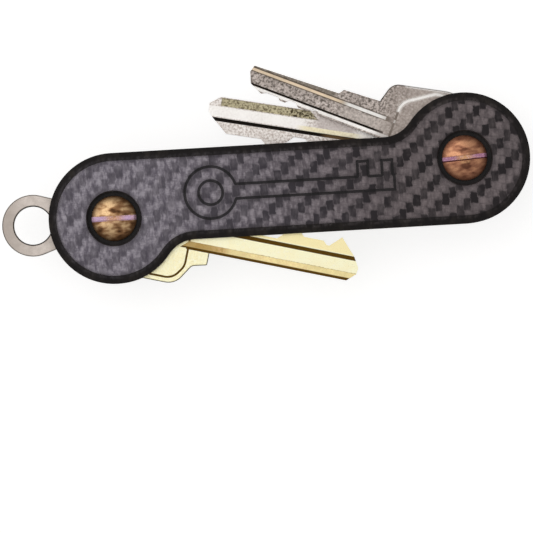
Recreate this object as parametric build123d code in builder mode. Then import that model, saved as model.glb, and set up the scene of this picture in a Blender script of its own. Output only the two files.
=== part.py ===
"""Key organiser: keys and small tools fan out of a slim stack held by two posts.

The stack lies between a carbon fibre front plate and a titanium back plate.
A slotted screw clamps each post, and a spring clip on the back holds a pocket.

Frame: +X runs from the ring tab's post to the clip's post, +Z points out of
the front plate, and z = 0 is the outer face of the pocket clip, on which the
organiser lies. The origin is midway between the two posts.
"""
import os
from math import atan2, cos, pi, radians, sin, sqrt

from build123d import *

os.makedirs("parts", exist_ok=True)

# Plan of the two plates
post_spacing = 70.0
end_radius = 12.9
bar_tilt = 6.5
neck_radius = 6.5

# Thicknesses
clip_sheet = 1.3
clip_standoff = 2.6
back_thickness = 2.0
front_thickness = 3.2
item_thickness = 2.0
washer_thickness = 0.4
item_play = 0.05

# Posts, screws and holes
barrel_radius = 2.4
barrel_fit = 0.08
washer_radius = 4.7
flange_radius = 3.5
flange_flats = 5.6
flange_height = 0.9
tip_radius = 2.1
tip_chamfer = 0.55
screw_shank_radius = 1.7
screw_head_radius = 4.45
screw_head_height = 1.8
screw_slot_width = 1.1
screw_slot_depth = 0.8
recess_radius = 5.3
front_web = 1.3

# Edges
front_chamfer = 1.6
back_chamfer = 1.3
small_chamfer = 0.2

# Headings at rest, in degrees from +X
brass_heading = -21.0
silver_front_heading = 149.7
silver_rear_heading = 161.6
ring_heading = 175.1

# Levels up the stack
back_outer = clip_standoff
back_inner = back_outer + back_thickness
base_top = back_inner + clip_sheet
level_pitch = item_thickness + 2 * item_play + washer_thickness
level_low = [base_top + washer_thickness + item_play + n * level_pitch for n in range(3)]
washer_low = [base_top + n * level_pitch for n in range(4)]
front_inner = washer_low[3] + washer_thickness
front_outer = front_inner + front_thickness
seat_level = front_inner + front_web

half_spacing = post_spacing / 2
left_x = -half_spacing
right_x = half_spacing
eye_radius = barrel_radius + barrel_fit

tilt = radians(bar_tilt)
bar_x = half_spacing * cos(tilt)
bar_y = half_spacing * sin(tilt)
bar_half = end_radius - bar_y


def bar_plane(height):
    """Plane whose X runs along the bar, which falls towards +X."""
    return Plane(origin=(0, 0, height), x_dir=(cos(tilt), -sin(tilt), 0), z_dir=(0, 0, 1))


def heading_plane(post_x, heading, height):
    """Plane centred on a post, with its X along a heading."""
    turn = radians(heading)
    return Plane(origin=(post_x, 0, height), x_dir=(cos(turn), sin(turn), 0), z_dir=(0, 0, 1))


def plate_outline():
    """Closed outline of both plates, in the bar's own X and Y."""
    rise = bar_half + neck_radius - bar_y
    neck_x = bar_x - sqrt((end_radius + neck_radius) ** 2 - rise**2)
    neck_y = bar_half + neck_radius
    share = end_radius / (end_radius + neck_radius)
    touch_x = bar_x + (neck_x - bar_x) * share
    touch_y = bar_y + (neck_y - bar_y) * share
    middle = (atan2(touch_y - neck_y, touch_x - neck_x) - pi / 2) / 2
    waist_x = neck_x + neck_radius * cos(middle)
    waist_y = neck_y + neck_radius * sin(middle)
    for side in (1, -1):
        Line((-side * bar_x, side * bar_half), (side * neck_x, side * bar_half))
        ThreePointArc(
            (side * neck_x, side * bar_half),
            (side * waist_x, side * waist_y),
            (side * touch_x, side * touch_y),
        )
        ThreePointArc(
            (side * touch_x, side * touch_y),
            (side * (bar_x + end_radius), side * bar_y),
            (side * bar_x, -side * bar_half),
        )


# --- Front plate -----------------------------------------------------------
mark_bow_x = -15.5
mark_bow_radius = 5.4
mark_hole_radius = 2.1
mark_tip_x = 21.0
mark_stem = 3.4
mark_line = 0.55
mark_depth = 0.3

with BuildPart() as front_plate:
    with BuildSketch(bar_plane(front_inner)):
        with BuildLine():
            plate_outline()
        make_face()
    extrude(amount=front_thickness)
    rim = front_plate.faces().sort_by(Axis.Z)[-1].outer_wire().edges()
    chamfer(rim, length=front_chamfer)
    with BuildSketch(Plane.XY.offset(front_inner)):
        with GridLocations(post_spacing, 0, 2, 1):
            Circle(barrel_radius + 0.1)
    extrude(amount=front_web, mode=Mode.SUBTRACT)
    with BuildSketch(Plane.XY.offset(seat_level)):
        with GridLocations(post_spacing, 0, 2, 1):
            Circle(recess_radius)
    extrude(amount=front_thickness - front_web, mode=Mode.SUBTRACT)
    mouths = front_plate.edges().filter_by(GeomType.CIRCLE).filter_by(
        lambda edge: abs(edge.radius - recess_radius) < 0.01 and edge.center().Z > front_outer - 0.01
    )
    chamfer(mouths, length=small_chamfer)
    # Engraved line drawing of a plain key
    with BuildSketch(bar_plane(front_outer)) as mark:
        with Locations((mark_bow_x, 0)):
            Circle(mark_bow_radius)
        with Locations(((mark_bow_x + mark_tip_x) / 2, 0)):
            Rectangle(mark_tip_x - mark_bow_x, mark_stem)
        with Locations((mark_tip_x - 1.6, 2.9), (mark_tip_x - 6.4, 2.9)):
            Rectangle(2.6, 3.6)
        with Locations((mark_bow_x, 0)):
            Circle(mark_hole_radius, mode=Mode.SUBTRACT)
        offset(amount=-mark_line, mode=Mode.SUBTRACT)
    extrude(amount=-mark_depth, mode=Mode.SUBTRACT)
front_plate.part.label = "front_plate"
export_step(front_plate.part, "parts/front_plate.step")

# --- Back plate ------------------------------------------------------------
window_x = 25.6
window_y = 2.75
window_length = 6.4
window_width = 10.3
window_radius = 1.6

with BuildPart() as back_plate:
    with BuildSketch(bar_plane(back_outer)):
        with BuildLine():
            plate_outline()
        make_face()
    extrude(amount=back_thickness)
    rim = back_plate.faces().sort_by(Axis.Z)[0].outer_wire().edges()
    chamfer(rim, length=back_chamfer)
    with BuildSketch(bar_plane(back_outer)):
        with Locations((window_x, window_y)):
            RectangleRounded(window_length, window_width, window_radius)
    extrude(amount=back_thickness, mode=Mode.SUBTRACT)
    with BuildSketch(Plane.XY.offset(back_outer)):
        with GridLocations(post_spacing, 0, 2, 1):
            Circle(tip_radius + 0.1)
    extrude(amount=back_thickness, mode=Mode.SUBTRACT)
    with BuildSketch(Plane.XY.offset(back_inner)):
        with GridLocations(post_spacing, 0, 2, 1):
            Circle(flange_radius + 0.1)
            Rectangle(2 * flange_radius + 1, flange_flats + 0.2, mode=Mode.INTERSECT)
    extrude(amount=-flange_height, mode=Mode.SUBTRACT)
    inner_edges = back_plate.faces().sort_by(Axis.Z)[0].inner_wires().edges()
    chamfer(inner_edges, length=small_chamfer)
back_plate.part.label = "back_plate"
export_step(back_plate.part, "parts/back_plate.step")


# --- Posts and their screws ------------------------------------------------
def make_post(label, post_x):
    """Barrel with a flatted flange let into the back plate and a tapped bore."""
    with BuildPart() as post:
        with BuildSketch(Plane.XY.offset(back_outer)):
            with Locations((post_x, 0)):
                Circle(tip_radius)
        extrude(amount=back_thickness - flange_height)
        chamfer(post.edges().sort_by(Axis.Z)[0], length=tip_chamfer)
        with BuildSketch(Plane.XY.offset(back_inner - flange_height)):
            with Locations((post_x, 0)):
                Circle(flange_radius)
                Rectangle(2 * flange_radius + 1, flange_flats, mode=Mode.INTERSECT)
        extrude(amount=flange_height)
        with BuildSketch(Plane.XY.offset(back_inner)):
            with Locations((post_x, 0)):
                Circle(barrel_radius)
        extrude(amount=seat_level - 0.2 - back_inner)
        with BuildSketch(Plane.XY.offset(seat_level - 0.2)):
            with Locations((post_x, 0)):
                Circle(screw_shank_radius + 0.05)
        extrude(amount=-(seat_level - 0.2 - back_inner - 1), mode=Mode.SUBTRACT)
    post.part.label = label
    export_step(post.part, f"parts/{label}.step")


def make_screw(label, post_x, slot_heading):
    """Domed, slotted screw that clamps the front plate down on its post."""
    skirt = 0.75
    dome_rise = screw_head_height - skirt
    dome_radius = (screw_head_radius**2 + dome_rise**2) / (2 * dome_rise)
    axis_plane = Plane(origin=(post_x, 0, seat_level), x_dir=(1, 0, 0), z_dir=(0, -1, 0))
    shank_length = seat_level - back_inner - 2
    with BuildPart() as screw:
        with BuildSketch(axis_plane):
            with BuildLine():
                Polyline(
                    (0, -shank_length),
                    (screw_shank_radius - 0.4, -shank_length),
                    (screw_shank_radius, -shank_length + 0.4),
                    (screw_shank_radius, 0),
                    (screw_head_radius, 0),
                    (screw_head_radius, skirt),
                )
                RadiusArc((screw_head_radius, skirt), (0, screw_head_height), -dome_radius)
                Line((0, screw_head_height), (0, -shank_length))
            make_face()
        revolve(axis=Axis((post_x, 0, 0), (0, 0, 1)))
        with BuildSketch(heading_plane(post_x, slot_heading, seat_level + screw_head_height)):
            Rectangle(2 * screw_head_radius + 1, screw_slot_width)
        extrude(amount=-screw_slot_depth, mode=Mode.SUBTRACT)
    screw.part.label = label
    export_step(screw.part, f"parts/{label}.step")


make_post("post_left", left_x)
make_post("post_right", right_x)
make_screw("screw_left", left_x, -bar_tilt)
make_screw("screw_right", right_x, -3.3)


# --- Washers and spacers ---------------------------------------------------
def make_ring(label, post_x, low, height, radius):
    """Flat ring on a post, with its edges broken."""
    with BuildPart() as ring:
        with BuildSketch(Plane.XY.offset(low)):
            with Locations((post_x, 0)):
                Circle(radius)
                Circle(eye_radius, mode=Mode.SUBTRACT)
        extrude(amount=height)
        chamfer(ring.faces().filter_by(Axis.Z).edges(), length=washer_thickness / 5)
    ring.part.label = label
    export_step(ring.part, f"parts/{label}.step")


spacer_radius = 4.0
for number, low in enumerate(washer_low, start=1):
    if number > 1:
        make_ring(f"washer_left_{number}", left_x, low, washer_thickness, washer_radius)
    make_ring(f"washer_right_{number}", right_x, low, washer_thickness, washer_radius)
make_ring("base_shim", left_x, back_inner, clip_sheet, spacer_radius + 1)
make_ring("post_spacer", left_x, base_top, washer_low[1] - base_top, spacer_radius)


# --- Keys ------------------------------------------------------------------
def cut_edge(cuts, top, slope=0.95):
    """Points of a blade's cut edge, from the bow to the end of its last cut.

    Each cut is (start, end, height) of its flat root, and its flanks rise at
    the slope until they meet the next cut's flank or the uncut edge.
    """
    points = []
    first_start, _, first_root = cuts[0]
    points.append((first_start - (top - first_root) / slope, top))
    for (start, end, root), (next_start, _, next_root) in zip(cuts, cuts[1:]):
        points.append((start, root))
        points.append((end, root))
        crest_x = (end + next_start + (next_root - root) / slope) / 2
        crest_y = root + slope * (crest_x - end)
        if crest_y < top:
            points.append((crest_x, crest_y))
        else:
            points.append((end + (top - root) / slope, top))
            points.append((next_start - (top - next_root) / slope, top))
    last_start, last_end, last_root = cuts[-1]
    points.append((last_start, last_root))
    points.append((last_end, last_root))
    return points


def both_sides(half):
    """Closed outline from its -Y half, which runs from the hole to the neck."""
    return half + [(x, -y) for x, y in reversed(half)]


def make_key(label, post_x, heading, low, bow, corners, panel, blade, grooves):
    """Flat key whose bow turns on a post, with its spine on the -Y side.

    bow and panel are the -Y halves of the bow's outline and of the line
    embossed on it, and blade is the whole outline beyond them. Each groove
    in the upper face is (start, end, y, width, depth, slant), where slant is
    how much further from the post its -Y side starts.
    """
    bottom = heading_plane(post_x, heading, low)
    top = heading_plane(post_x, heading, low + item_thickness)
    with BuildPart() as key:
        with BuildSketch(bottom):
            with BuildLine():
                FilletPolyline(*both_sides(bow), radius=corners + corners[::-1], close=True)
            make_face()
        extrude(amount=item_thickness)
        chamfer(key.faces().filter_by(Axis.Z).edges(), length=small_chamfer)
        with BuildSketch(bottom):
            with BuildLine():
                Polyline(*blade, close=True)
            make_face()
        extrude(amount=item_thickness)
        for face_plane, depth in ((top, -emboss_depth), (bottom, emboss_depth)):
            with BuildSketch(face_plane):
                with BuildLine():
                    FilletPolyline(*both_sides(panel), radius=panel_corner, close=True)
                make_face()
                offset(amount=-emboss_width, mode=Mode.SUBTRACT)
            extrude(amount=depth, mode=Mode.SUBTRACT)
        for start, end, y, width, depth, slant in grooves:
            with BuildSketch(top):
                with BuildLine():
                    Polyline(
                        (start + slant, y - width / 2),
                        (end, y - width / 2),
                        (end, y + width / 2),
                        (start, y + width / 2),
                        close=True,
                    )
                make_face()
            extrude(amount=-depth, mode=Mode.SUBTRACT)
        with BuildSketch(bottom):
            Circle(eye_radius)
        extrude(amount=item_thickness, mode=Mode.SUBTRACT)
    key.part.label = label
    export_step(key.part, f"parts/{label}.step")


emboss_width = 0.4
emboss_depth = 0.15
panel_corner = 3.2

brass_spine = -3.1
brass_top = 5.1
brass_cuts = [(22.9, 24.3, 3.3), (29.0, 32.2, 2.4), (37.4, 41.2, 3.75), (42.1, 42.6, 3.0)]
brass_tip = [(47.2, brass_spine), (48.9, -1.5), (49.1, -0.3), (47.9, 1.75), (44.8, brass_top)]
make_key(
    "brass_key",
    left_x,
    brass_heading,
    level_low[2],
    bow=[(-4.8, -6.5), (-1.5, -10.4), (14.2, -10.4), (16.8, -6.2), (19.7, -5.5)],
    corners=[3.0, 3.0, 3.6, 1.2, 0.4],
    panel=[(-3.4, -5.6), (-0.6, -9.5), (13.6, -9.5), (15.6, -6.6)],
    blade=[(17.0, brass_spine)] + brass_tip + cut_edge(brass_cuts, brass_top)[::-1] + [(17.0, brass_top)],
    grooves=[
        (20.4, 50.0, 1.4, 0.8, 0.7, 0.0),
        (15.4, 50.0, -2.2, 1.4, 0.2, -1.6),
        (15.0, 50.0, -2.85, 0.5, 0.55, 0.0),
    ],
)

front_top = 2.1
front_cuts = [(30.4, 31.6, 1.5), (35.0, 36.2, 1.4), (38.6, 41.0, 1.6)]
front_tip = [(45.1, -2.6), (45.5, -1.2), (44.6, 0.9), (43.1, 1.6), (42.0, front_top)]
make_key(
    "silver_key_front",
    right_x,
    silver_front_heading,
    level_low[2],
    bow=[(-4.8, -6.5), (-1.5, -11.2), (7.5, -11.2), (18.4, -8.8), (19.5, -4.8), (17.4, -3.0)],
    corners=[3.0, 3.0, 8.0, 2.6, 0.3, 0.3],
    panel=[(-3.4, -5.8), (-0.6, -10.2), (9.5, -10.2), (15.6, -6.0)],
    blade=[(17.0, -4.85), (26.9, -4.3), (27.6, -3.3)]
    + front_tip
    + cut_edge(front_cuts, front_top)[::-1]
    + [(17.0, front_top)],
    grooves=[
        (17.2, 50.0, -1.95, 0.8, 0.3, 0.0),
        (16.8, 50.0, 0.95, 0.4, 0.6, 0.0),
        (19.3, 50.0, -0.4, 1.7, 0.08, 0.4),
    ],
)

rear_spine = -4.85
rear_top = 3.6
rear_cuts = [(24.6, 26.0, 1.6), (31.6, 33.8, 0.85), (40.2, 47.2, 2.2)]
rear_tip = [(49.2, rear_spine), (51.3, -3.3), (51.3, -1.7), (50.2, -0.5)]
make_key(
    "silver_key_rear",
    right_x,
    silver_rear_heading,
    level_low[1],
    bow=[(-4.8, -6.8), (-1.5, -11.2), (15.6, -11.2), (18.3, -7.2), (21.9, -6.5)],
    corners=[3.0, 3.0, 3.0, 1.5, 0.4],
    panel=[(-3.4, -5.8), (-0.6, -9.8), (12.5, -9.8), (16.2, -5.8)],
    blade=[(19.0, rear_spine)] + rear_tip + cut_edge(rear_cuts, rear_top)[::-1] + [(19.0, rear_top)],
    grooves=[
        (29.4, 49.0, -3.9, 1.6, 0.5, 2.0),
        (18.0, 52.0, -0.35, 0.7, 0.8, 0.0),
    ],
)

# --- Ring tab --------------------------------------------------------------
ring_reach = 16.2
ring_outer = 6.1
ring_inner = 3.75
ring_neck = 4.6
ring_eye = 5.8
flare = radians(108)

with BuildPart() as ring_tab:
    with BuildSketch(heading_plane(left_x, ring_heading, level_low[1])):
        flare_x = ring_reach + ring_outer * cos(flare)
        flare_y = ring_outer * sin(flare)
        with BuildLine():
            Polyline(
                (0, ring_neck),
                (10.6, ring_neck),
                (flare_x, flare_y),
                (flare_x, -flare_y),
                (10.6, -ring_neck),
                (0, -ring_neck),
                close=True,
            )
        make_face()
        Circle(ring_eye)
        with Locations((ring_reach, 0)):
            Circle(ring_outer)
            Circle(ring_inner, mode=Mode.SUBTRACT)
        Circle(eye_radius, mode=Mode.SUBTRACT)
    extrude(amount=item_thickness)
    chamfer(ring_tab.faces().filter_by(Axis.Z).edges(), length=small_chamfer)
ring_tab.part.label = "ring_tab"
export_step(ring_tab.part, "parts/ring_tab.step")

# --- Bottle opener ---------------------------------------------------------
cradle_radius = 5.3
opener_eye = 6.9
opener_corners = [
    (35.0, -6.2, 0.0),
    (-12.3, -5.6, 20.0),
    (-20.3, -6.9, 6.0),
    (-24.4, -7.9, 0.6),
    (-22.7, -13.0, 0.9),
    (-27.5, -13.6, 6.0),
    (-37.0, -10.2, 3.0),
    (-42.6, -7.6, 3.0),
    (-43.4, -2.4, 0.6),
    (-28.6, -2.4, 0.6),
    (-28.6, 2.4, 2.0),
    (35.0, 6.2, 0.0),
]

with BuildPart() as bottle_opener:
    with BuildSketch(Plane.XY.offset(level_low[0])) as opener_plan:
        with BuildLine():
            FilletPolyline(
                *[(x, y) for x, y, _ in opener_corners],
                radius=[corner for _, _, corner in opener_corners],
                close=True,
            )
        make_face()
        with Locations((right_x, 0)):
            Circle(opener_eye)
            Circle(eye_radius, mode=Mode.SUBTRACT)
        with Locations((left_x, 0)):
            Circle(cradle_radius, mode=Mode.SUBTRACT)
        horns = opener_plan.vertices().filter_by(
            lambda corner: abs(sqrt((corner.X - left_x) ** 2 + corner.Y**2) - cradle_radius) < 0.01
        )
        fillet(horns, radius=0.6)
    extrude(amount=item_thickness)
    chamfer(bottle_opener.faces().filter_by(Axis.Z).edges(), length=small_chamfer)
bottle_opener.part.label = "bottle_opener"
export_step(bottle_opener.part, "parts/bottle_opener.step")

# --- Pocket clip -----------------------------------------------------------
clip_low = -1.9
clip_high = 6.5
clip_disc_x = -14.5
clip_disc_radius = 6.65
clip_disc_y = clip_high - clip_disc_radius
clip_neck = 4.5
clip_ring = 6.6
knee_x = 21.6
seat_x = 28.0
dip_depth = 0.9
half_sheet = clip_sheet / 2
leg_middle = ((knee_x + seat_x) / 2, (half_sheet + back_inner + half_sheet) / 2)
leg_angle = atan2(back_inner, seat_x - knee_x)
leg_gap = 0.02
clip_side = Plane(origin=(0, 0, 0), x_dir=(cos(tilt), -sin(tilt), 0), z_dir=(-sin(tilt), -cos(tilt), 0))

with BuildPart() as clip_arm:
    with BuildSketch(clip_side):
        with BuildLine():
            FilletPolyline(
                (clip_disc_x - clip_disc_radius - 1, half_sheet),
                (-11.8, half_sheet),
                (-8.7, half_sheet + dip_depth),
                (-6.1, half_sheet + dip_depth),
                (-3.0, half_sheet),
                (knee_x, half_sheet),
                (leg_middle[0] - leg_gap * cos(leg_angle), leg_middle[1] - leg_gap * sin(leg_angle)),
                radius=[6.0, 6.0, 6.0, 6.0, 2.5],
            )
        trace(line_width=clip_sheet)
    extrude(amount=15, both=True)
    with BuildSketch(bar_plane(-1)) as arm_plan:
        with Locations((clip_disc_x, clip_disc_y)):
            Circle(clip_disc_radius)
        with Locations(((clip_disc_x + 30) / 2, (clip_low + clip_high) / 2)):
            Rectangle(30 - clip_disc_x, clip_high - clip_low)
        neck = arm_plan.vertices().filter_by(lambda v: v.X < 0).sort_by(Axis.Y)[:3]
        fillet(neck.sort_by(Axis.X)[-1], radius=clip_neck)
    extrude(amount=8, mode=Mode.INTERSECT)
    chamfer(clip_arm.edges().filter_by_position(Axis.Z, -0.01, 0.01), length=small_chamfer)
clip_arm.part.label = "clip_arm"
export_step(clip_arm.part, "parts/clip_arm.step")

with BuildPart() as clip_base:
    with BuildSketch(clip_side):
        with BuildLine():
            FilletPolyline(
                leg_middle,
                (seat_x, back_inner + half_sheet),
                (bar_x + clip_ring + 1, back_inner + half_sheet),
                radius=[1.5],
            )
        trace(line_width=clip_sheet)
    extrude(amount=15, both=True)
    with BuildSketch(bar_plane(-1)):
        with Locations((bar_x, bar_y)):
            Circle(clip_ring)
        with Locations(((20 + bar_x) / 2, (clip_low + clip_high) / 2)):
            Rectangle(bar_x - 20, clip_high - clip_low)
        with Locations((bar_x, bar_y)):
            Circle(eye_radius, mode=Mode.SUBTRACT)
    extrude(amount=8, mode=Mode.INTERSECT)
clip_base.part.label = "clip_base"
export_step(clip_base.part, "parts/clip_base.step")
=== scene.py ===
"""Looks of the key organiser: carbon front, titanium back, keys and tools between them."""
import math

import bmesh
import bpy
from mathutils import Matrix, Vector


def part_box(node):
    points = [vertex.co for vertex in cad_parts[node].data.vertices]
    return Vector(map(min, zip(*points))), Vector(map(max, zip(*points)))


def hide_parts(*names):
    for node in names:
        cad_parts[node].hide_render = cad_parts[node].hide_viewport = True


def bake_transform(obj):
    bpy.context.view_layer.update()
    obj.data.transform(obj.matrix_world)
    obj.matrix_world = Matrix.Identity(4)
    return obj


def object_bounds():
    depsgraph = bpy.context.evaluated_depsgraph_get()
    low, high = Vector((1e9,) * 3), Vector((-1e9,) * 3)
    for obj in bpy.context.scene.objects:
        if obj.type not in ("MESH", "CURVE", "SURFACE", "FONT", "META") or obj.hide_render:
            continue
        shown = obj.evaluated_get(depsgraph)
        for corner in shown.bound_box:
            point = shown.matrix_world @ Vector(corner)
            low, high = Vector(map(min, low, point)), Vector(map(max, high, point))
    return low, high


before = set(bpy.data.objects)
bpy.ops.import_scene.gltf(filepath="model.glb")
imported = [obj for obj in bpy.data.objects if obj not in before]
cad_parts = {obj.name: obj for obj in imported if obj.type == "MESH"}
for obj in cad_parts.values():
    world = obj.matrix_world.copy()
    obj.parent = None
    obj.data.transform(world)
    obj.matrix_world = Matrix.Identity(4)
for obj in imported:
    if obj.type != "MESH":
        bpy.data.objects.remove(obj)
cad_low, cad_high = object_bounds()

mm = 0.001

# --- Places, from the frame ------------------------------------------------


def centre(node):
    """Middle of a CAD node's box at rest."""
    low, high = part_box(node)
    return (low + high) / 2


left_post = centre("screw_left")
right_post = centre("screw_right")
front_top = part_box("front_plate")[1].z
back_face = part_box("back_plate")[0].z

# How far a screw slot's floor and the head's seat lie below the front face, in millimetres
slot_floor, head_seat = 0.9, 1.9

# The bar between the two ends falls towards +X
bar_tilt = math.radians(-6.5)

# Where the pocket clip's leg starts and ends, in millimetres along the bar
leg_foot, leg_seat = 21.6, 28.0

# Heading of each turning piece at rest, in degrees from +X
headings = {
    "brass_key": -21.0,
    "silver_key_front": 149.7,
    "silver_key_rear": 161.6,
    "ring_tab": 175.1,
    "bottle_opener": 180.0,
}
pivots = {
    "brass_key": left_post,
    "silver_key_front": right_post,
    "silver_key_rear": right_post,
    "ring_tab": left_post,
    "bottle_opener": right_post,
}


# --- Building materials ----------------------------------------------------
def add_node(tree, kind, **settings):
    """New node in a tree, with some of its settings."""
    node = tree.nodes.new(kind)
    for name, value in settings.items():
        setattr(node, name, value)
    return node


class Finish:
    """A node material under construction, with a few short words for its nodes."""

    def __init__(self, name, metallic=1.0, specular=0.5):
        self.material = bpy.data.materials.new(name)
        self.material.use_nodes = True
        self.tree = self.material.node_tree
        self.shader = self.tree.nodes["Principled BSDF"]
        self.shader.inputs["Metallic"].default_value = metallic
        self.shader.inputs["Specular IOR Level"].default_value = specular
        self.place = self.add("ShaderNodeTexCoord").outputs["Object"]
        self.normal = self.add("ShaderNodeNewGeometry").outputs["Normal"]

    def add(self, kind, **settings):
        return add_node(self.tree, kind, **settings)

    def put(self, value, socket):
        """Join another node's output to a socket, or write a number or colour on it."""
        if isinstance(value, bpy.types.NodeSocket):
            self.tree.links.new(value, socket)
        elif isinstance(value, tuple) and len(value) == 3 and socket.type == "RGBA":
            socket.default_value = (*value, 1)
        else:
            socket.default_value = value

    def math(self, operation, *values):
        node = self.add("ShaderNodeMath", operation=operation)
        for value, socket in zip(values, node.inputs):
            self.put(value, socket)
        return node.outputs[0]

    def product(self, *values):
        total = values[0]
        for value in values[1:]:
            total = self.math("MULTIPLY", total, value)
        return total

    def radius(self, along, across):
        """Distance from the origin of a frame, in plan."""
        squares = self.math("ADD", self.product(along, along), self.product(across, across))
        return self.math("SQRT", squares)

    def local(self, origin=(0, 0, 0), heading=0.0):
        """Millimetres along, across and up in a frame turned about Z."""
        node = self.add("ShaderNodeMapping", vector_type="TEXTURE")
        node.inputs["Location"].default_value = origin
        node.inputs["Rotation"].default_value = (0, 0, heading)
        node.inputs["Scale"].default_value = (mm, mm, mm)
        self.put(self.place, node.inputs["Vector"])
        return node.outputs[0]

    def split(self, vector):
        node = self.add("ShaderNodeSeparateXYZ")
        self.put(vector, node.inputs[0])
        return node.outputs[0], node.outputs[1], node.outputs[2]

    def stretch(self, vector, along, across, up=1.0):
        """A frame's coordinates multiplied, so that noise read there is drawn out."""
        node = self.add("ShaderNodeVectorMath", operation="MULTIPLY")
        self.put(vector, node.inputs[0])
        node.inputs[1].default_value = (along, across, up)
        return node.outputs[0]

    def noise(self, vector, scale, detail=3.0, roughness=0.6):
        node = self.add("ShaderNodeTexNoise")
        self.put(vector, node.inputs["Vector"])
        node.inputs["Scale"].default_value = scale
        node.inputs["Detail"].default_value = detail
        node.inputs["Roughness"].default_value = roughness
        return node.outputs["Fac"]

    def wander(self, vector, scale, amount):
        """A frame's coordinates pushed about by noise, for edges drawn by hand."""
        noise = self.add("ShaderNodeTexNoise")
        self.put(vector, noise.inputs["Vector"])
        noise.inputs["Scale"].default_value = scale
        push = self.add("ShaderNodeVectorMath", operation="MULTIPLY_ADD")
        self.put(noise.outputs["Color"], push.inputs[0])
        push.inputs[1].default_value = (amount, amount, 0)
        push.inputs[2].default_value = (-amount / 2, -amount / 2, 0)
        total = self.add("ShaderNodeVectorMath", operation="ADD")
        self.put(vector, total.inputs[0])
        self.put(push.outputs[0], total.inputs[1])
        return total.outputs[0]

    def cells(self, vector, scale):
        node = self.add("ShaderNodeTexVoronoi")
        self.put(vector, node.inputs["Vector"])
        node.inputs["Scale"].default_value = scale
        return node.outputs["Distance"]

    def ramp(self, value, low, high, out_low=0.0, out_high=1.0):
        """Smooth step of a value from low to high."""
        node = self.add("ShaderNodeMapRange", interpolation_type="SMOOTHSTEP")
        for socket, number in zip(node.inputs, (value, low, high, out_low, out_high)):
            self.put(number, socket)
        return node.outputs[0]

    def band(self, value, low, high, soft=0.08):
        """1 between low and high, 0 beyond them."""
        rise = self.ramp(value, low - soft, low + soft)
        return self.product(rise, self.ramp(value, high - soft, high + soft, 1.0, 0.0))

    def mix(self, share, first, second):
        """Colour that runs from first to second as share runs from 0 to 1."""
        node = self.add("ShaderNodeMix", data_type="RGBA")
        self.put(share, node.inputs[0])
        self.put(first, node.inputs[6])
        self.put(second, node.inputs[7])
        return node.outputs[2]

    def bump(self, height, distance, strength=1.0, under=None):
        node = self.add("ShaderNodeBump")
        node.inputs["Strength"].default_value = strength
        node.inputs["Distance"].default_value = distance
        self.put(height, node.inputs["Height"])
        if under is not None:
            self.put(under, node.inputs["Normal"])
        return node.outputs[0]

    def faces(self, low, high):
        """1 where the surface's upward share lies between low and high, else 0."""
        up = self.split(self.normal)[2]
        return self.product(self.math("GREATER_THAN", up, low), self.math("LESS_THAN", up, high))

    def edge(self, radius, low=0.02, high=0.25):
        """1 near edges, from how far a rounded normal leaves the true one; callers paint wear, shade or
        highlights there.
        """
        rounded = self.add("ShaderNodeBevel", samples=4)
        rounded.inputs["Radius"].default_value = radius
        dot = self.add("ShaderNodeVectorMath", operation="DOT_PRODUCT")
        self.put(rounded.outputs[0], dot.inputs[0])
        self.put(self.normal, dot.inputs[1])
        return self.ramp(self.math("SUBTRACT", 1.0, dot.outputs["Value"]), low, high)

    def done(self, colour, roughness, normal=None):
        self.put(colour, self.shader.inputs["Base Color"])
        self.put(roughness, self.shader.inputs["Roughness"])
        if normal is not None:
            self.put(normal, self.shader.inputs["Normal"])
        return self.material


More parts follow.
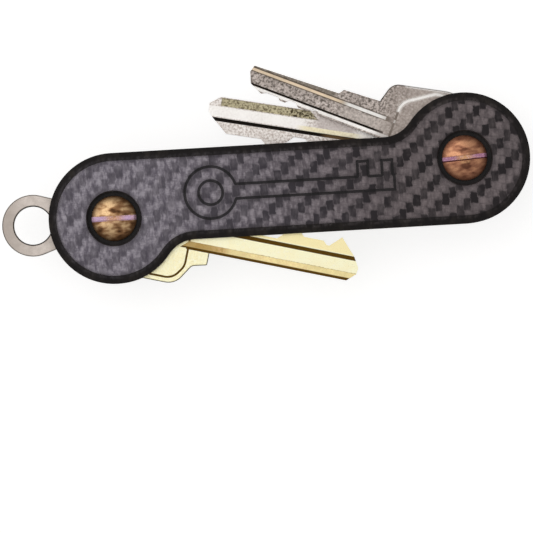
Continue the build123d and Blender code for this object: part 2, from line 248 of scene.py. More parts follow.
def carbon_twill():
    """2/2 twill in a sanded resin face, with a black machined rim and engraving; a sheen on the left
    end and shade on the rim are painted.
    """
    # Tow widths, tows in a repeat, and depths below the front face, in millimetres
    warp_tow, weft_tow = 1.42, 1.30
    repeat = 4.0
    face_depth, mark_top, mark_floor = 0.15, 0.2, 0.5
    finish = Finish("carbon_twill", metallic=0.0, specular=0.22)
    place = finish.local(heading=bar_tilt)
    along, _, up = finish.split(place)
    warped = finish.wander(finish.wander(place, 0.5, 0.95), 1.6, 0.45)
    warped_along, warped_across, _ = finish.split(warped)
    u = finish.math("DIVIDE", warped_along, warp_tow)
    v = finish.math("DIVIDE", warped_across, weft_tow)
    cell_u = finish.math("FLOOR", u)
    cell_v = finish.math("FLOOR", v)
    step = finish.math("FLOORED_MODULO", finish.math("SUBTRACT", cell_u, cell_v), repeat)
    # The warp lies on top in two tows of the four, at steps 0 and 1
    warp = finish.math("LESS_THAN", step, 1.5)

    def arch(value, middle, power=3.0):
        """Crown of a float, 1 over its middle and 0 at its ends, one tow each side."""
        away = finish.math("ABSOLUTE", finish.math("SUBTRACT", value, middle))
        return finish.math("SUBTRACT", 1.0, finish.math("POWER", away, power))

    warp_run = finish.math("ADD", finish.math("SUBTRACT", cell_u, v), 1.0)
    warp_place = finish.math("FLOORED_MODULO", warp_run, repeat)
    weft_place = finish.math("FLOORED_MODULO", finish.math("SUBTRACT", u, cell_v), repeat)
    warp_width = arch(finish.product(finish.math("FRACT", u), 2.0), 1.0, 5.0)
    weft_width = arch(finish.product(finish.math("FRACT", v), 2.0), 1.0)
    warp_length = arch(warp_place, 1.0)
    warp_crown = finish.product(warp_length, warp_width)
    weft_crown = finish.product(arch(weft_place, 3.0), weft_width)

    def choose(if_weft, if_warp):
        """One value where the weft lies on top and another where the warp does."""
        node = finish.add("ShaderNodeMix", data_type="FLOAT")
        finish.put(warp, node.inputs[0])
        finish.put(if_weft, node.inputs[2])
        finish.put(if_warp, node.inputs[3])
        return node.outputs[0]

    # Each dark float is a little darker or paler than the next
    lot = finish.add("ShaderNodeTexWhiteNoise", noise_dimensions="2D")
    pair = finish.add("ShaderNodeCombineXYZ")
    finish.put(cell_u, pair.inputs[0])
    finish.put(finish.math("FLOOR", finish.math("DIVIDE", warp_run, repeat)), pair.inputs[1])
    finish.put(pair.outputs[0], lot.inputs["Vector"])
    depth_of_float = finish.ramp(lot.outputs["Value"], 0.0, 1.0, 0.8, 1.15)

    crown = choose(weft_crown, warp_crown)
    fibres = choose(
        finish.noise(finish.stretch(place, 0.8, 4.5, 0.0), 1.0, 4.0),
        finish.noise(finish.stretch(place, 4.5, 0.8, 0.0), 1.0, 4.0),
    )
    blotches = finish.noise(finish.stretch(place, 1.0, 0.6, 0.0), 0.5, 3.0)
    streaks = finish.noise(finish.stretch(place, 1.7, 0.7, 0.0), 0.75, 3.0)

    # Painted sheen: the weave is pale and even at the left end, as if lit from there, and dark and
    # contrasty at the right
    right = finish.ramp(along, -36.0, 28.0)
    pale = finish.mix(right, (0.480, 0.445, 0.505), (0.232, 0.193, 0.199))
    mid = finish.mix(right, (0.122, 0.107, 0.140), (0.096, 0.078, 0.083))
    dark = finish.mix(right, (0.080, 0.070, 0.090), (0.012, 0.008, 0.010))
    sides = finish.ramp(warp_width, 0.0, 0.6, 0.55, 1.0)
    floats = finish.product(finish.ramp(warp_length, -0.05, 0.75, 0.05, 1.0), sides, depth_of_float)
    shade = choose(finish.ramp(weft_crown, 0.6, -0.1, 0.0, 0.3), floats)
    # Painted sheen: the dark floats fade towards the left end
    even = finish.ramp(along, -36.0, 4.0, 0.62, 1.0)
    shade = finish.product(shade, even, finish.ramp(blotches, 0.3, 0.7, 1.15, 0.75))
    tone = finish.mix(finish.ramp(streaks, 0.30, 0.70), mid, pale)
    tone = finish.mix(finish.ramp(fibres, 0.4, 0.65, 0.0, 0.4), tone, mid)
    tone = finish.mix(finish.ramp(blotches, 0.5, 0.7, 0.0, 0.35), tone, pale)
    tone = finish.mix(finish.ramp(blotches, 0.46, 0.32, 0.0, 0.6), tone, mid)
    tone = finish.mix(shade, tone, dark)
    # Painted shade: the face darkens in ragged patches next to the rim, the recesses and the engraving
    rim_shade = finish.ramp(streaks, 0.35, 0.6, 0.3, 0.95)
    rim_shade = finish.product(finish.edge(1.3 * mm, 0.0, 0.035), rim_shade)
    tone = finish.mix(rim_shade, tone, (0.018, 0.013, 0.015))

    # All that lies below the face is machined: the rim, the recesses and the engraving. They are near
    # black: the carbon's own dark, with painted shade on the rim and in the recesses, and paler patches
    # on the rim are a painted sheen.
    depth = finish.math("SUBTRACT", front_top / mm, up)
    faced = finish.faces(0.95, 1.1)
    face = finish.product(faced, finish.math("LESS_THAN", depth, face_depth))
    mark = finish.product(faced, finish.band(depth, mark_top, mark_floor))
    grain = finish.noise(finish.local(), 6.0, 4.0)
    rim = finish.mix(finish.ramp(grain, 0.4, 0.8), (0.008, 0.0065, 0.007), (0.024, 0.019, 0.018))
    rim = finish.mix(finish.ramp(blotches, 0.45, 0.75, 0.0, 0.6), rim, (0.042, 0.034, 0.029))
    near = finish.product(finish.ramp(depth, 0.95, 0.1), finish.ramp(right, 0.0, 1.0, 0.25, 0.7))
    spill = finish.product(near, finish.ramp(streaks, 0.35, 0.62, 0.1, 1.0), finish.faces(0.4, 0.95))
    rim = finish.mix(spill, rim, finish.mix(0.45, tone, rim))
    colour = finish.mix(face, rim, tone)
    colour = finish.mix(mark, colour, finish.mix(0.85, tone, (0.006, 0.005, 0.006)))
    roughness = finish.ramp(grain, 0.3, 0.8, 0.36, 0.52)
    weave = finish.bump(crown, 0.03 * mm, 0.4)
    return finish.done(colour, roughness, finish.bump(fibres, 0.012 * mm, 0.6, under=weave))


def stonewashed_titanium():
    """Tumbled, speckled grey face with a painted shadow across its middle, a chamfer painted dark as
    shade, and a thin bright line where the two meet, partly wear and partly painted highlight.
    """
    face_depth = 0.12
    finish = Finish("stonewashed_titanium")
    place = finish.local(heading=bar_tilt)
    along, _, up = finish.split(place)
    depth = finish.math("SUBTRACT", up, back_face / mm)
    fine = finish.noise(place, 3.0, 2.0, 0.7)
    broad = finish.noise(place, 0.4, 3.0)
    dents = finish.cells(place, 2.4)
    # Painted shadow: the middle of the face, under the clip, is darker than the ends
    ends = finish.ramp(finish.math("ABSOLUTE", along), 14.0, 30.0)
    tone = finish.mix(ends, (0.36, 0.317, 0.30), (0.48, 0.432, 0.405))
    tone = finish.mix(finish.ramp(fine, 0.44, 0.6, 0.0, 0.75), tone, (0.205, 0.177, 0.165))
    tone = finish.mix(finish.ramp(broad, 0.4, 0.7, 0.0, 0.4), tone, (0.31, 0.275, 0.255))
    tone = finish.mix(finish.ramp(dents, 0.04, 0.24, 0.6, 0.0), tone, (0.70, 0.66, 0.63))
    # Painted shade: the chamfer and the walls are dark
    shaded_bevel = finish.mix(finish.ramp(fine, 0.3, 0.75), (0.060, 0.048, 0.044), (0.15, 0.125, 0.115))
    colour = finish.mix(finish.faces(-0.95, 0.9), tone, shaded_bevel)
    on_face = finish.math("LESS_THAN", depth, face_depth)
    # The thin bright line is partly edge wear and partly painted highlight
    line = finish.product(finish.edge(0.3 * mm, 0.0, 0.045), on_face)
    colour = finish.mix(line, colour, (0.80, 0.76, 0.73))
    roughness = finish.ramp(fine, 0.25, 0.75, 0.38, 0.55)
    tumbled = finish.bump(dents, 0.03 * mm, 0.35)
    return finish.done(colour, roughness, finish.bump(fine, 0.02 * mm, 0.4, under=tumbled))


def clip_titanium():
    """Paler satin sheet with a fine tumbled grain, painted dark as shade where it dives into the
    window.
    """
    finish = Finish("clip_titanium")
    place = finish.local(heading=bar_tilt)
    along = finish.split(place)[0]
    fine = finish.noise(place, 4.6, 4.0, 0.7)
    broad = finish.noise(place, 0.35, 2.0)
    scratches = finish.noise(finish.stretch(finish.local(heading=bar_tilt + 0.6), 0.6, 14.0), 1.0, 2.0)
    tone = finish.mix(finish.ramp(fine, 0.35, 0.65), (0.78, 0.735, 0.70), (0.56, 0.52, 0.49))
    tone = finish.mix(finish.ramp(broad, 0.4, 0.7, 0.0, 0.4), tone, (0.52, 0.49, 0.475))
    tone = finish.mix(finish.ramp(scratches, 0.66, 0.74, 0.0, 0.4), tone, (0.80, 0.77, 0.75))
    # Brighter edges, partly wear and partly painted highlight
    tone = finish.mix(finish.edge(0.12 * mm), tone, (0.82, 0.79, 0.77))
    # Painted shade on the leg past its bend, and painted shadow, near black, where it reaches the
    # window
    leg_shade = finish.ramp(along, leg_foot, leg_foot + 1.2, 0.0, 0.9)
    tone = finish.mix(leg_shade, tone, (0.33, 0.295, 0.275))
    window = finish.ramp(along, leg_seat - 3.0, leg_seat - 1.4, 0.0, 0.95)
    tone = finish.mix(window, tone, (0.06, 0.05, 0.045))
    roughness = finish.ramp(fine, 0.25, 0.75, 0.28, 0.40)
    return finish.done(tone, roughness, finish.bump(fine, 0.008 * mm, 0.3))


def anodised_screw(name, post, slot_heading, shift, bright, tan, deep, orange, violet, shadow):
    """Heat-coloured dome with a violet slot that is orange in its middle, and painted light: lighter on
    one side, darker towards the rim, with a painted highlight below the slot.

    shift moves the patches of colour, in millimetres, so that the two heads
    differ. shadow is how dark the slot's lower edge is.
    """
    pink = (0.72, 0.50, 0.60)
    lathe_rings = 42.0
    finish = Finish(name)
    place = finish.local(origin=(post.x, post.y, 0), heading=slot_heading)
    along, across, up = finish.split(place)
    shifted = finish.local(origin=(post.x + shift * mm, post.y, 0), heading=slot_heading)
    patches = finish.noise(finish.stretch(shifted, 0.6, 1.2), 0.75, 1.6)
    fine = finish.noise(place, 4.0, 5.0, 0.7)
    radius = finish.radius(along, across)
    turned = finish.math("SINE", finish.product(radius, lathe_rings))
    # Painted light and shade: lighter towards one side, darker towards the other and towards the rim
    painted_light_slope = finish.math("MULTIPLY_ADD", along, -0.012, finish.product(across, 0.012))
    glow = finish.math("ADD", painted_light_slope, patches)
    tone = finish.mix(finish.ramp(glow, 0.28, 0.46), deep, tan)
    tone = finish.mix(finish.ramp(glow, 0.42, 0.62), tone, bright)
    tone = finish.mix(finish.ramp(fine, 0.4, 0.7, 0.0, 0.24), tone, deep)
    tone = finish.mix(finish.ramp(radius, 3.0, 4.4, 0.0, 0.85), tone, deep)
    far = finish.math("ADD", finish.math("ABSOLUTE", along), finish.product(fine, 1.6))
    slot = finish.mix(finish.ramp(far, 1.2, 3.4), orange, violet)
    slot = finish.mix(finish.ramp(patches, 0.5, 0.7, 0.0, 0.5), slot, tan)
    sparkle = finish.noise(finish.stretch(place, 1.0, 2.0), 3.0, 2.0)
    slot = finish.mix(finish.ramp(sparkle, 0.5, 0.7, 0.0, 0.6), slot, pink)
    slot = finish.mix(finish.ramp(across, -0.18, -0.30, 0.0, shadow), slot, (0.05, 0.012, 0.012))
    # Painted highlight just below the slot
    glint = finish.product(finish.band(along, -0.9, 0.9, 0.4), finish.band(across, -1.05, -0.6, 0.15))
    tone = finish.mix(finish.product(glint, finish.ramp(sparkle, 0.35, 0.5, 0.2, shadow)), tone, orange)
    floor = finish.band(across, -0.5, 0.5, 0.04)
    depth = finish.math("SUBTRACT", front_top / mm, up)
    low = finish.math("GREATER_THAN", depth, slot_floor - 0.06)
    high = finish.math("LESS_THAN", depth, head_seat)
    inside = finish.product(floor, low, high)
    colour = finish.mix(inside, tone, slot)
    roughness = finish.ramp(fine, 0.3, 0.7, 0.24, 0.38)
    return finish.done(colour, roughness, finish.bump(turned, 0.004 * mm, 0.35))


# Colours of the keys, and the depth from which a patch covers faces and grooves alike
cream, gold, brown = (1.0, 0.975, 0.69), (0.97, 0.83, 0.42), (0.10, 0.052, 0.008)
white, black = (1.0, 0.98, 0.955), (0.012, 0.010, 0.008)
everywhere = -0.1


def key_metal(name, node, bright, dull, speck, groove_and_edge_dark, rough, patches, speckled=(60.0, 50.0), glint=None):
    """Flat key: milled blade, grained bow, darker grooves and painted shade along the edges, then
    patches of colour.

    speckled gives the x at which the cast grain starts and the lower x from
    which it is full. Each patch is (x from, x to, y from, y to, depth from,
    colour, share, grained), in millimetres along, across and below the upper
    face. glint is the x range and the highest y of wide, bright edges.
    """
    # Strength of the painted shade along the edges
    edge_shade = 0.55
    finish = Finish(name)
    pivot = pivots[node]
    place = finish.local(origin=(pivot.x, pivot.y, 0), heading=math.radians(headings[node]))
    along, across, up = finish.split(place)
    depth = finish.math("SUBTRACT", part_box(node)[1].z / mm, up)
    milled = finish.noise(finish.stretch(place, 0.5, 9.0), 1.0, 3.0)
    grain = finish.noise(place, 2.3, 3.0, 0.6)
    fine = finish.noise(place, 6.0, 4.0, 0.7)
    broad = finish.noise(place, 0.35, 3.0)
    grains = finish.ramp(grain, 0.40, 0.67)
    above = finish.faces(0.7, 1.1)
    seen = finish.ramp(above, 0.0, 1.0, 0.4, 1.0)
    calm = finish.product(seen, finish.ramp(along, 13.0, 18.0, 0.5, 1.0))
    cast = finish.product(grains, finish.ramp(along, *speckled), calm)
    tone = finish.mix(finish.ramp(broad, 0.35, 0.7, 0.0, 0.5), bright, dull)
    tone = finish.mix(finish.ramp(milled, 0.5, 0.75, 0.0, 0.5), tone, dull)
    tone = finish.mix(cast, tone, speck)
    tone = finish.mix(finish.product(finish.ramp(grain, 0.40, 0.28), 0.6), tone, white)
    tone = finish.mix(finish.product(above, finish.ramp(depth, 0.09, 0.14)), tone, groove_and_edge_dark)
    for x_from, x_to, y_from, y_to, depth_from, paint, share, grained in patches:
        deep_enough = finish.math("GREATER_THAN", depth, depth_from)
        worn = grains if grained else finish.ramp(broad, 0.3, 0.7, 1.0, 0.8)
        inside = finish.product(
            finish.band(along, x_from, x_to, 1.2),
            finish.band(across, y_from, y_to),
            deep_enough,
            above,
        )
        tone = finish.mix(finish.product(inside, worn, share), tone, paint)
    if glint:
        x_from, x_to, y_to = glint
        inside = finish.product(finish.band(along, x_from, x_to), finish.ramp(across, y_to + 0.3, y_to))
        tone = finish.mix(finish.product(inside, finish.edge(0.6 * mm, 0.0, 0.06)), tone, white)
        edge_shade = finish.math("MULTIPLY_ADD", inside, -edge_shade, edge_shade)
    # Painted shade: a thin dark line along the edges
    colour = finish.mix(finish.product(finish.edge(0.09 * mm), edge_shade), tone, groove_and_edge_dark)
    roughness = finish.ramp(fine, 0.3, 0.75, rough, rough + 0.16)
    pitted = finish.bump(cast, 0.03 * mm, 0.4)
    return finish.done(colour, roughness, finish.bump(milled, 0.008 * mm, 0.5, under=pitted))


def satin_steel(name, bright, dull, rough, node=None, eye=None, shaded=None):
    """Brushed sheet steel with brighter edges, partly wear and partly painted highlight.

    eye is a hole's distance from the pivot and its radius, and its edge is painted
    dark as shade. shaded is the radius round the pivot within which painted shade
    darkens the sheet where it sits between the plates.
    """
    finish = Finish(name)
    heading = math.radians(headings[node]) if node else 0.0
    pivot = pivots[node] if node else Vector()
    place = finish.local(origin=(pivot.x, pivot.y, 0), heading=heading)
    along, across, _ = finish.split(place)
    brushed = finish.noise(finish.stretch(place, 0.5, 16.0), 1.0, 3.0)
    fine = finish.noise(place, 6.0, 5.0, 0.7)
    broad = finish.noise(place, 0.5, 2.0)
    tone = finish.mix(finish.ramp(broad, 0.3, 0.7, 0.0, 0.5), bright, dull)
    tone = finish.mix(finish.ramp(fine, 0.4, 0.75, 0.0, 0.4), tone, dull)
    tone = finish.mix(finish.ramp(brushed, 0.55, 0.75, 0.0, 0.35), tone, dull)
    # Brighter edges, partly wear and partly painted highlight
    tone = finish.mix(finish.product(finish.edge(0.1 * mm), 0.6), tone, bright)
    if eye:
        reach, radius = eye
        away = finish.math("SUBTRACT", along, reach)
        # Painted shade on the hole's edge
        rim = finish.ramp(finish.radius(away, across), radius + 0.34, radius + 0.16, 0.0, 0.9)
        tone = finish.mix(rim, tone, (0.05, 0.04, 0.034))
        tone = finish.mix(finish.ramp(away, 0.0, 5.0, 0.0, 0.7), tone, dull)
    if shaded:
        # Painted shade where the sheet sits between the plates
        shade_between_plates = finish.ramp(finish.radius(along, across), shaded + 1.5, shaded - 1.0, 0.0, 0.85)
        tone = finish.mix(shade_between_plates, tone, (0.10, 0.085, 0.075))
    roughness = finish.ramp(fine, 0.3, 0.75, rough, rough + 0.14)
    return finish.done(tone, roughness, finish.bump(brushed, 0.006 * mm, 0.5))


finishes = {
    "front_plate": carbon_twill(),
    "back_plate": stonewashed_titanium(),
    "screw_left": anodised_screw(
        "screw_left_bronze",
        left_post,
        bar_tilt,
        shift=7.0,
        bright=(0.74, 0.50, 0.275),
        tan=(0.31, 0.16, 0.075),
        deep=(0.085, 0.04, 0.018),
        orange=(0.60, 0.34, 0.22),
        violet=(0.50, 0.34, 0.50),
        shadow=0.35,
    ),
    "screw_right": anodised_screw(
        "screw_right_bronze",
        right_post,
        math.radians(-3.3),
        shift=2.0,
        bright=(0.62, 0.31, 0.175),
        tan=(0.38, 0.17, 0.10),
        deep=(0.15, 0.06, 0.036),
        orange=(0.60, 0.33, 0.17),
        violet=(0.36, 0.17, 0.27),
        shadow=0.95,
    ),
    "brass_key": key_metal(
        "key_brass",
        "brass_key",
        cream,
        (0.99, 0.90, 0.55),
        (0.97, 0.88, 0.53),
        brown,
        0.26,
        [
            (12.0, 50.0, -2.55, -1.45, 0.15, gold, 1.0, False),
            (12.0, 23.0, -2.55, -1.45, 0.15, (0.36, 0.20, 0.04), 0.85, False),
            (20.0, 40.0, -2.55, -1.45, 0.15, (0.80, 0.56, 0.30), 0.5, True),
            (22.0, 50.0, -1.55, -1.42, everywhere, (0.42, 0.28, 0.08), 0.9, True),
            (20.0, 50.0, 1.95, 6.0, everywhere, gold, 0.75, False),
        ],
        (21.0, 16.0),
    ),
    "silver_key_front": key_metal(
        "key_nickel_front",
        "silver_key_front",
        (0.60, 0.527, 0.488),
        (0.36, 0.31, 0.282),
        (0.13, 0.112, 0.098),
        (0.14, 0.115, 0.09),
        0.34,
        [
            (28.0, 60.0, -5.0, -2.4, everywhere, (0.17, 0.145, 0.11), 0.75, False),
            # Painted shade on the groove's walls, left as dark lines on both sides of the paler floor
            # painted next
            (16.0, 60.0, -2.45, -1.45, everywhere, (0.075, 0.055, 0.035), 0.85, False),
            (15.0, 26.0, -2.25, -1.6, 0.15, white, 1.0, False),
            (26.0, 60.0, -2.2, -1.65, 0.15, (0.86, 0.70, 0.52), 1.0, False),
            (14.0, 60.0, 0.7, 1.2, 0.3, black, 1.0, False),
            (12.0, 60.0, 1.2, 1.8, everywhere, white, 1.0, False),
            (16.0, 26.0, -1.35, 0.7, everywhere, (0.60, 0.54, 0.50), 0.55, False),
            (-14.0, 18.0, -14.0, 14.0, everywhere, (0.33, 0.28, 0.25), 0.45, False),
            # Painted highlight along the groove in the bow
            (6.0, 16.2, -12.0, -4.0, 0.12, white, 1.0, False),
        ],
        glint=(5.0, 15.8, -4.0),
    ),
    "silver_key_rear": key_metal(
        "key_nickel_rear",
        "silver_key_rear",
        (0.92, 0.88, 0.85),
        (0.74, 0.69, 0.65),
        (0.50, 0.43, 0.39),
        black,
        0.3,
        [
            (25.0, 50.5, -5.0, -3.0, 0.15, (0.60, 0.54, 0.36), 1.0, False),
            (25.0, 50.5, -5.0, -3.0, 0.15, (0.06, 0.04, 0.015), 0.8, True),
            (25.0, 36.0, -5.0, -3.0, 0.15, (0.03, 0.02, 0.01), 0.9, True),
            (32.0, 60.0, -2.9, -0.9, everywhere, white, 1.0, False),
            (20.0, 33.0, -1.6, -0.7, everywhere, (0.93, 0.85, 0.56), 0.8, False),
            (12.0, 28.0, -0.75, 0.0, 0.3, (0.16, 0.10, 0.05), 0.8, False),
            # Painted shadow where the rear key passes under the front key
            (22.0, 30.0, -4.6, -1.6, everywhere, (0.52, 0.46, 0.44), 0.75, False),
            (10.0, 21.5, -4.6, -0.8, everywhere, white, 0.8, False),
        ],
    ),
    "ring_tab": satin_steel(
        "tab_satin",
        (0.72, 0.65, 0.60),
        (0.42, 0.37, 0.33),
        0.34,
        "ring_tab",
        eye=(16.2, 3.75),
    ),
    "bottle_opener": satin_steel(
        "opener_satin",
        (0.70, 0.65, 0.60),
        (0.52, 0.48, 0.44),
        0.34,
        "bottle_opener",
        shaded=14.5,
    ),
}
post_steel = satin_steel("post_steel", (0.86, 0.85, 0.84), (0.70, 0.69, 0.68), 0.22)
washer_steel = satin_steel("washer_steel", (0.42, 0.40, 0.39), (0.26, 0.25, 0.24), 0.34)
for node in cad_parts:
    if node.startswith("post_") and node != "post_spacer":
        finishes[node] = post_steel
    if node.startswith("washer_") or node in ("base_shim", "post_spacer"):
        finishes[node] = washer_steel


# --- Pocket clip -----------------------------------------------------------
# Sizes of its plan, in the bar's own axes: the arm's two edges, the disc at the
# tip, the fillet between them, and the ring with its hole on the right post
clip_low = -1.9 * mm
clip_high = 6.5 * mm
clip_disc_radius = 6.65 * mm
clip_disc = Vector((-14.5 * mm, clip_high - clip_disc_radius))
clip_neck = 4.5 * mm
clip_ring = 6.6 * mm
clip_hole = 2.48 * mm
# Sheet thickness, rounding of its edges, and the dip that grips the pocket's hem
clip_sheet = 1.3 * mm
clip_edge = 0.2 * mm
clip_dip = 0.65 * mm


def rounded_path(corners, radii, steps=6):
    """Points along a polyline whose inner corners are arcs."""
    points = [Vector(corners[0])]
    for before, corner, after, radius in zip(corners, corners[1:], corners[2:], radii):
        before, corner, after = Vector(before), Vector(corner), Vector(after)
        way_in = (corner - before).normalized()
        way_out = (after - corner).normalized()
        turn = way_in.angle(way_out)
        start = corner - way_in * radius * math.tan(turn / 2)
        side = (way_out - way_in).normalized()
        middle = corner + side * radius / math.cos(turn / 2)
        for n in range(steps + 1):
            share = n / steps
            spoke = (start - middle).lerp(corner + way_out * (corner - start).length - middle, share)
            points.append(middle + spoke.normalized() * radius)
    points.append(Vector(corners[-1]))
    return points


def half_chord(radius, away):
    """Half the height of a circle where a line passes its middle at a distance."""
    return math.sqrt(max(radius**2 - away**2, 0))


def clip_sections(bar_post, bends):
    """Plan of the clip in the bar's own axes, as the edges met by lines across it.

    The plan is the disc, the neck, the arm and the ring on the post. Each
    section is (x, [y, ...]): one y at a tip, two across the sheet, three where
    the hole starts and ends, and four across the hole.
    """
    neck_y = clip_low - clip_neck
    reach = clip_disc_radius + clip_neck
    closest = 0.12 * mm
    neck_x = clip_disc.x + half_chord(reach, neck_y - clip_disc.y)
    touch_x = clip_disc.x + (neck_x - clip_disc.x) * clip_disc_radius / reach
    low_corner = bar_post.x - half_chord(clip_ring, bar_post.y - clip_low)
    high_corner = bar_post.x - half_chord(clip_ring, clip_high - bar_post.y)
    tips = [clip_disc.x - clip_disc_radius, bar_post.x + clip_ring]
    hole = [bar_post.x - clip_hole, bar_post.x + clip_hole]
    fixed = tips + hole + bends + [low_corner, high_corner, touch_x, neck_x]
    quarter = [math.cos(math.radians(angle)) for angle in range(6, 180, 6)]
    loose = [clip_disc.x + clip_disc_radius * share for share in quarter]
    loose += [neck_x - clip_neck * share for share in quarter if share > 0]
    loose += [bar_post.x + clip_ring * share for share in quarter]
    loose += [bar_post.x + clip_hole * share for share in quarter]
    # Lines every millimetre where the sheet bends with the joint
    loose += [n * mm for n in range(15, 21)]
    for x in loose:
        if min(abs(x - other) for other in fixed) > closest:
            fixed.append(x)

    sections = []
    for x in sorted(fixed):
        disc = half_chord(clip_disc_radius, x - clip_disc.x)
        ring = half_chord(clip_ring, x - bar_post.x)
        high = clip_disc.y + disc if x < clip_disc.x else clip_high
        if x > high_corner:
            high = bar_post.y + ring
        if x < touch_x:
            low = clip_disc.y - disc
        elif x < neck_x:
            low = neck_y + half_chord(clip_neck, x - neck_x)
        else:
            low = clip_low if x < low_corner else bar_post.y - ring
        if x in tips:
            sections.append((x, [(low + high) / 2]))
        elif x in hole:
            sections.append((x, [low, bar_post.y, high]))
        elif hole[0] < x < hole[1]:
            gap = half_chord(clip_hole, x - bar_post.x)
            sections.append((x, [low, bar_post.y - gap, bar_post.y + gap, high]))
        else:
            sections.append((x, [low, high]))
    return sections


def apply_modifiers(piece):
    """Make the modified shape the piece's own mesh, smooth but for its sharp edges."""
    sharp_turn = math.radians(13)
    bpy.context.view_layer.update()
    shown = piece.evaluated_get(bpy.context.evaluated_depsgraph_get())
    mesh = bpy.data.meshes.new_from_object(shown)
    piece.modifiers.clear()
    piece.data = mesh
    mesh.shade_smooth()
    mesh.set_sharp_from_angle(angle=sharp_turn)


def pocket_clip():
    """One bent sheet, from the ring on the right post to the disc at the tip."""
    bar_post = Vector((right_post.x * math.cos(bar_tilt), -right_post.x * math.sin(bar_tilt)))
    low = clip_sheet / 2
    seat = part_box("clip_base")[1].z - low
    ends = (clip_disc.x - clip_disc_radius - mm, bar_post.x + clip_ring + mm)
    dip_bend, foot_bend, seat_bend = 9.0 * mm, 2.5 * mm, 1.5 * mm
    side = rounded_path(
        [
            (ends[0], low),
            (-12.2 * mm, low),
            (-8.4 * mm, low + clip_dip),
            (-6.4 * mm, low + clip_dip),
            (-2.6 * mm, low),
            (leg_foot * mm, low),
            (leg_seat * mm, seat),
            (ends[1], seat),
        ],
        [dip_bend] * 4 + [foot_bend, seat_bend],
    )

    def level(x):
        """Height of the bent sheet's middle at a place along the bar."""
        for first, second in zip(side, side[1:]):
            if first.x <= x <= second.x:
                return first.y + (second.y - first.y) * (x - first.x) / (second.x - first.x)

    cos, sin = math.cos(bar_tilt), math.sin(bar_tilt)
    sheet = bmesh.new()
    rows = []
    for x, crossings in clip_sections(bar_post, [point.x for point in side[1:-1]]):
        places = [(x * cos - y * sin, x * sin + y * cos, level(x)) for y in crossings]
        rows.append([sheet.verts.new(place) for place in places])
    for first, second in zip(rows, rows[1:]):
        if max(len(first), len(second)) == 4:
            sheet.faces.new(first[:2] + second[:2][::-1])
            sheet.faces.new(first[-2:] + second[-2:][::-1])
        else:
            sheet.faces.new(first + second[::-1])
    bmesh.ops.recalc_face_normals(sheet, faces=sheet.faces)
    mesh = bpy.data.meshes.new("pocket_clip")
    sheet.to_mesh(mesh)
    sheet.free()

    clip = bpy.data.objects.new("pocket_clip", mesh)
    bpy.context.scene.collection.objects.link(clip)
    solid = clip.modifiers.new("sheet", "SOLIDIFY")
    solid.thickness = clip_sheet
    solid.offset = 0
    solid.use_even_offset = True
    edge = clip.modifiers.new("edge", "BEVEL")
    edge.width = clip_edge
    edge.segments = 3
    edge.limit_method = "ANGLE"
    edge.angle_limit = math.radians(50)
    edge.use_clamp_overlap = False
    apply_modifiers(clip)
    clip.data.materials.append(clip_titanium())
    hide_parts("clip_base", "clip_arm")
    return clip


clip = pocket_clip()
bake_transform(clip)

# --- Dress the CAD nodes ---------------------------------------------------
for name, material in finishes.items():
    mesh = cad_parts[name].data
    mesh.materials.clear()
    mesh.materials.append(material)


# --- Floor, light and camera -----------------------------------------------
def pale_floor():
    """Wide white floor that shows from above and is clear from below."""
    half = 6.0
    gap = 0.05 * mm
    mesh = bpy.data.meshes.new("floor")
    level = cad_low.z - gap
    corners = [(-half, -half, level), (half, -half, level), (half, half, level), (-half, half, level)]
    mesh.from_pydata(corners, [], [(0, 1, 2, 3)])
    floor = bpy.data.objects.new("floor", mesh)
    bpy.context.scene.collection.objects.link(floor)
    floor.visible_diffuse = False
    floor.visible_glossy = False
    floor.visible_shadow = False
    material = bpy.data.materials.new("floor_white")
    material.use_nodes = True
    tree = material.node_tree
    tree.nodes.clear()
    paper = add_node(tree, "ShaderNodeBsdfDiffuse")
    paper.inputs["Color"].default_value = (0.5, 0.5, 0.5, 1)
    glow = add_node(tree, "ShaderNodeEmission")
    glow.inputs["Strength"].default_value = 0.74
    both = add_node(tree, "ShaderNodeAddShader")
    clear = add_node(tree, "ShaderNodeBsdfTransparent")
    side = add_node(tree, "ShaderNodeNewGeometry")
    choice = add_node(tree, "ShaderNodeMixShader")
    out = add_node(tree, "ShaderNodeOutputMaterial")
    tree.links.new(paper.outputs[0], both.inputs[0])
    tree.links.new(glow.outputs[0], both.inputs[1])
    tree.links.new(side.outputs["Backfacing"], choice.inputs[0])
    tree.links.new(both.outputs[0], choice.inputs[1])
    tree.links.new(clear.outputs[0], choice.inputs[2])
    tree.links.new(choice.outputs[0], out.inputs[0])
    mesh.materials.append(material)


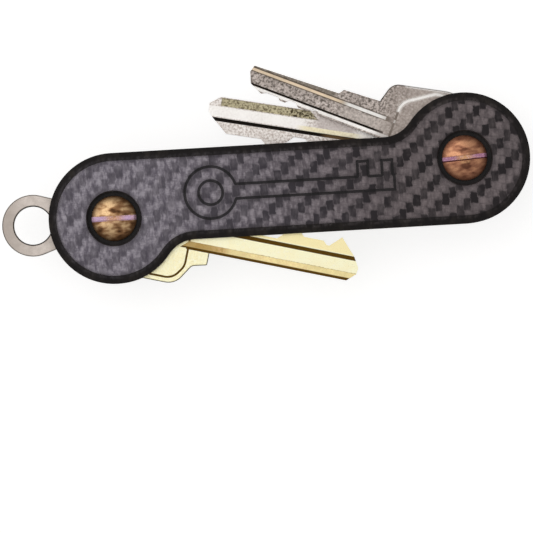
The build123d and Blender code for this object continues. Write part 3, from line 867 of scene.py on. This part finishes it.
def studio_world():
    """Soft light tent: bright above and below, dimmer at the sides, white to the camera."""
    sides, top, box = 0.24, 0.615, 0.84
    box_way = Vector((-0.42, 0.36, 1.0)).normalized()
    box_edge, box_core = 0.80, 0.95
    world = bpy.data.worlds.new("studio")
    world.use_nodes = True
    tree = world.node_tree
    tent = tree.nodes["Background"]

    def ramp(value, low, high, out_low, out_high):
        node = add_node(tree, "ShaderNodeMapRange", interpolation_type="SMOOTHSTEP")
        tree.links.new(value, node.inputs[0])
        for socket, number in zip(node.inputs[1:], (low, high, out_low, out_high)):
            socket.default_value = number
        return node.outputs[0]

    way = add_node(tree, "ShaderNodeTexCoord").outputs["Generated"]
    split = add_node(tree, "ShaderNodeSeparateXYZ")
    rise = add_node(tree, "ShaderNodeMath", operation="ABSOLUTE")
    upward = add_node(tree, "ShaderNodeCombineXYZ")
    tree.links.new(way, split.inputs[0])
    tree.links.new(split.outputs[2], rise.inputs[0])
    tree.links.new(split.outputs[0], upward.inputs[0])
    tree.links.new(split.outputs[1], upward.inputs[1])
    tree.links.new(rise.outputs[0], upward.inputs[2])
    nearness = add_node(tree, "ShaderNodeVectorMath", operation="DOT_PRODUCT")
    tree.links.new(upward.outputs[0], nearness.inputs[0])
    nearness.inputs[1].default_value = box_way
    glow = ramp(rise.outputs[0], 0.0, 1.0, sides, top)
    lamp = ramp(nearness.outputs["Value"], box_edge, box_core, 0.0, box)
    total = add_node(tree, "ShaderNodeMath", operation="ADD")
    tree.links.new(glow, total.inputs[0])
    tree.links.new(lamp, total.inputs[1])
    tree.links.new(total.outputs[0], tent.inputs["Strength"])
    white = add_node(tree, "ShaderNodeBackground")
    white.inputs["Strength"].default_value = 1.0
    seen = add_node(tree, "ShaderNodeLightPath").outputs["Is Camera Ray"]
    choice = add_node(tree, "ShaderNodeMixShader")
    tree.links.new(seen, choice.inputs[0])
    tree.links.new(tent.outputs[0], choice.inputs[1])
    tree.links.new(white.outputs[0], choice.inputs[2])
    tree.links.new(choice.outputs[0], tree.nodes["World Output"].inputs[0])
    tent.inputs["Color"].default_value = (1.0, 0.985, 0.97, 1)
    bpy.context.scene.world = world


def overhead_camera():
    """Long lens that looks straight down, turned so that the bar rises to the right."""
    lens, sensor, frame_width = 400.0, 36.0, 104.73 * mm
    middle = (-7.06 * mm, -14.42 * mm)
    data = bpy.data.cameras.new("camera")
    data.lens = lens
    data.sensor_width = sensor
    camera = bpy.data.objects.new("camera", data)
    camera.location = (*middle, front_top + frame_width * lens / sensor)
    camera.rotation_euler = (0, 0, math.radians(-9.81))
    bpy.context.scene.collection.objects.link(camera)
    bpy.context.scene.camera = camera


pale_floor()
studio_world()
overhead_camera()
bpy.context.scene.view_settings.view_transform = "Standard"
